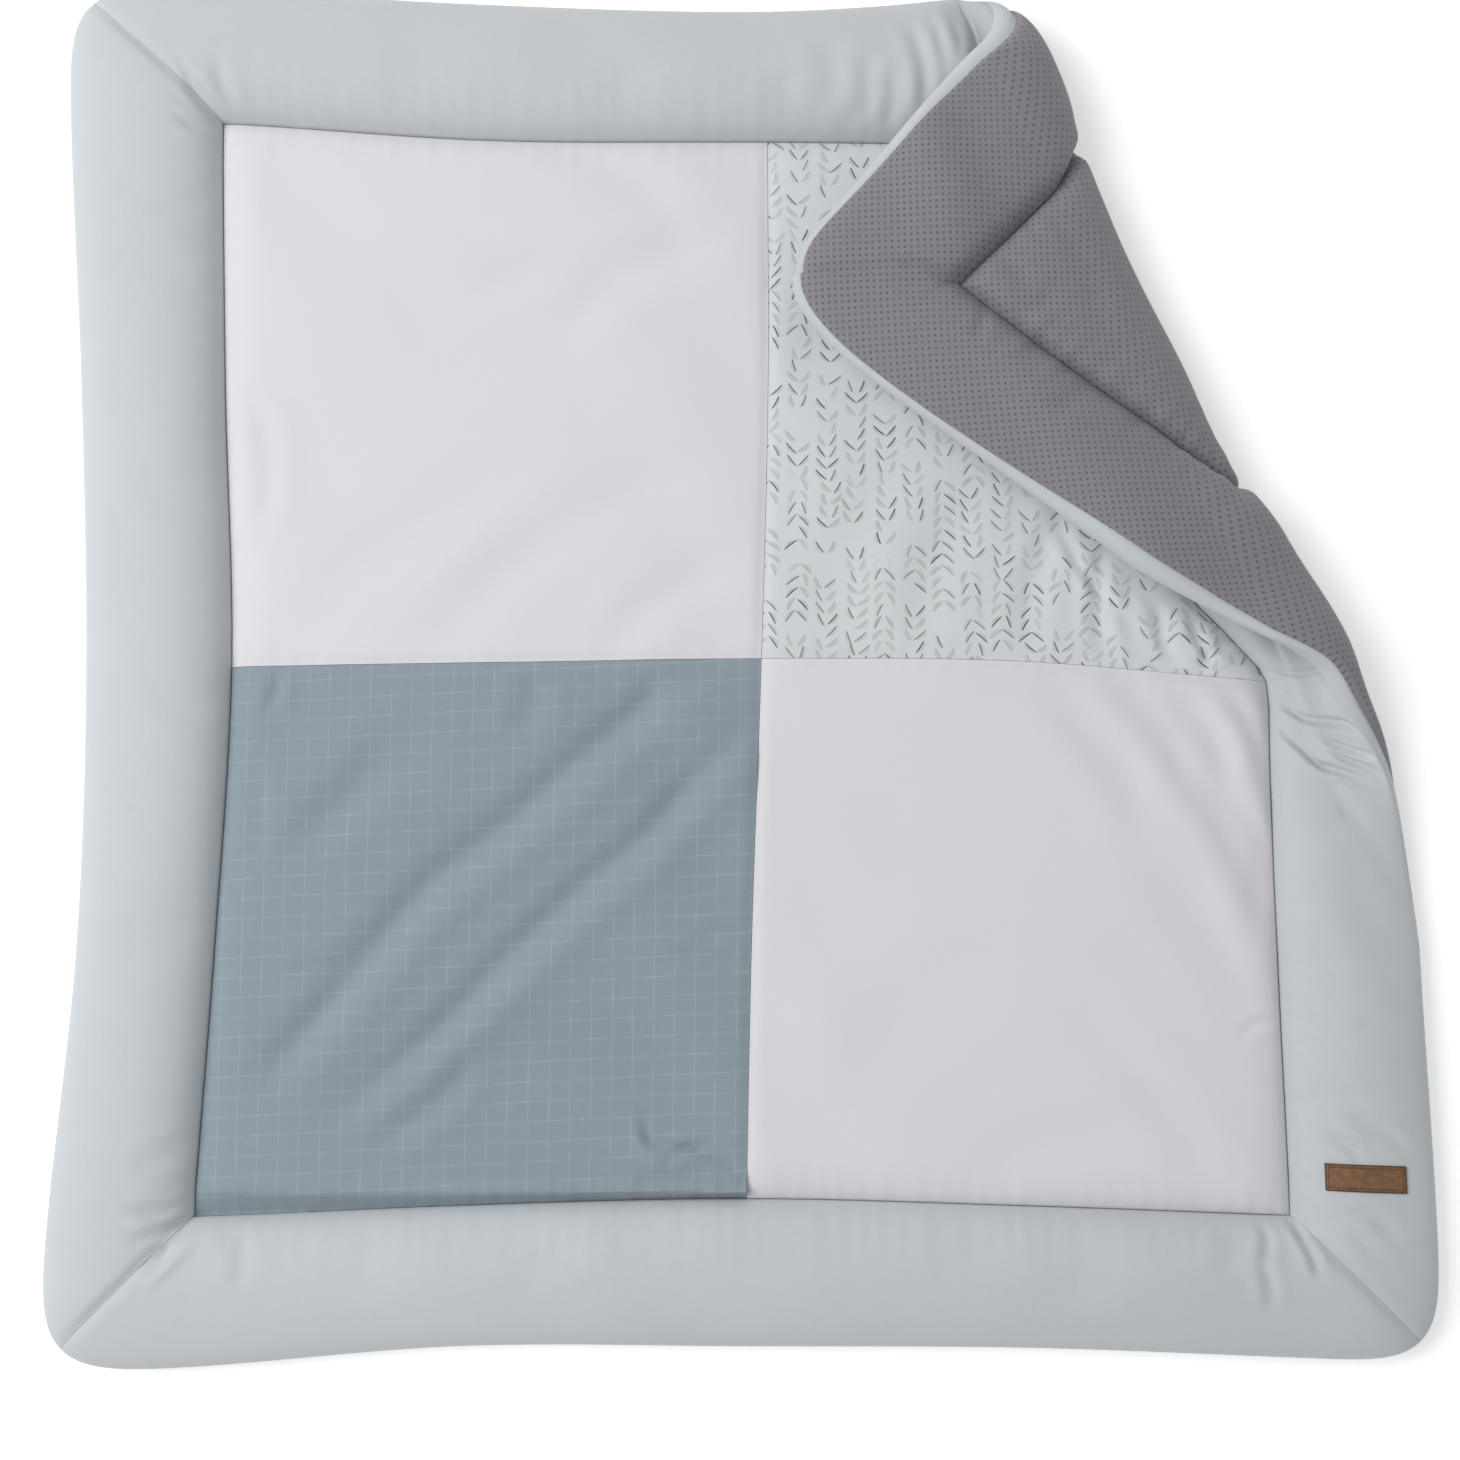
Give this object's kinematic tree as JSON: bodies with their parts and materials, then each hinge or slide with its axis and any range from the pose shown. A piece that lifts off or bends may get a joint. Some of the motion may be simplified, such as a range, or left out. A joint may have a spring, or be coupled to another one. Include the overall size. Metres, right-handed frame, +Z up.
{
  "type": "baby play mat",
  "caption": "Square quilted cotton play mat with patchwork panels in a puffy mitred border, lying flat with one corner folded over.",
  "frame": {"origin": "middle of the underside, on the floor", "axes": "+Z up out of the floor, +X to the right and +Y to the top of the mat as it is looked at from above"},
  "size_m": [1.0118, 1.0177, 0.0866],
  "materials": {
    "border_cloth": "woven cotton, pale mint grey",
    "white_cloth": "woven cotton, white",
    "leaf_cloth": "woven cotton, white with grey-green leaf sprigs",
    "blue_cloth": "woven cotton, blue-grey with a fine window-pane check",
    "backing_cloth": "woven cotton, grey with small dark dots",
    "label_leather": "brown leatherette, bare"
  },
  "bodies": {
    "root": {"quarter_tl": "white_cloth", "quarter_tr": "leaf_cloth", "quarter_bl": "blue_cloth", "quarter_br": "white_cloth", "border_top": "border_cloth", "border_right": "border_cloth", "border_bottom": "border_cloth", "border_left": "border_cloth", "backing": "backing_cloth", "label": "label_leather"}
  },
  "joints": []
}
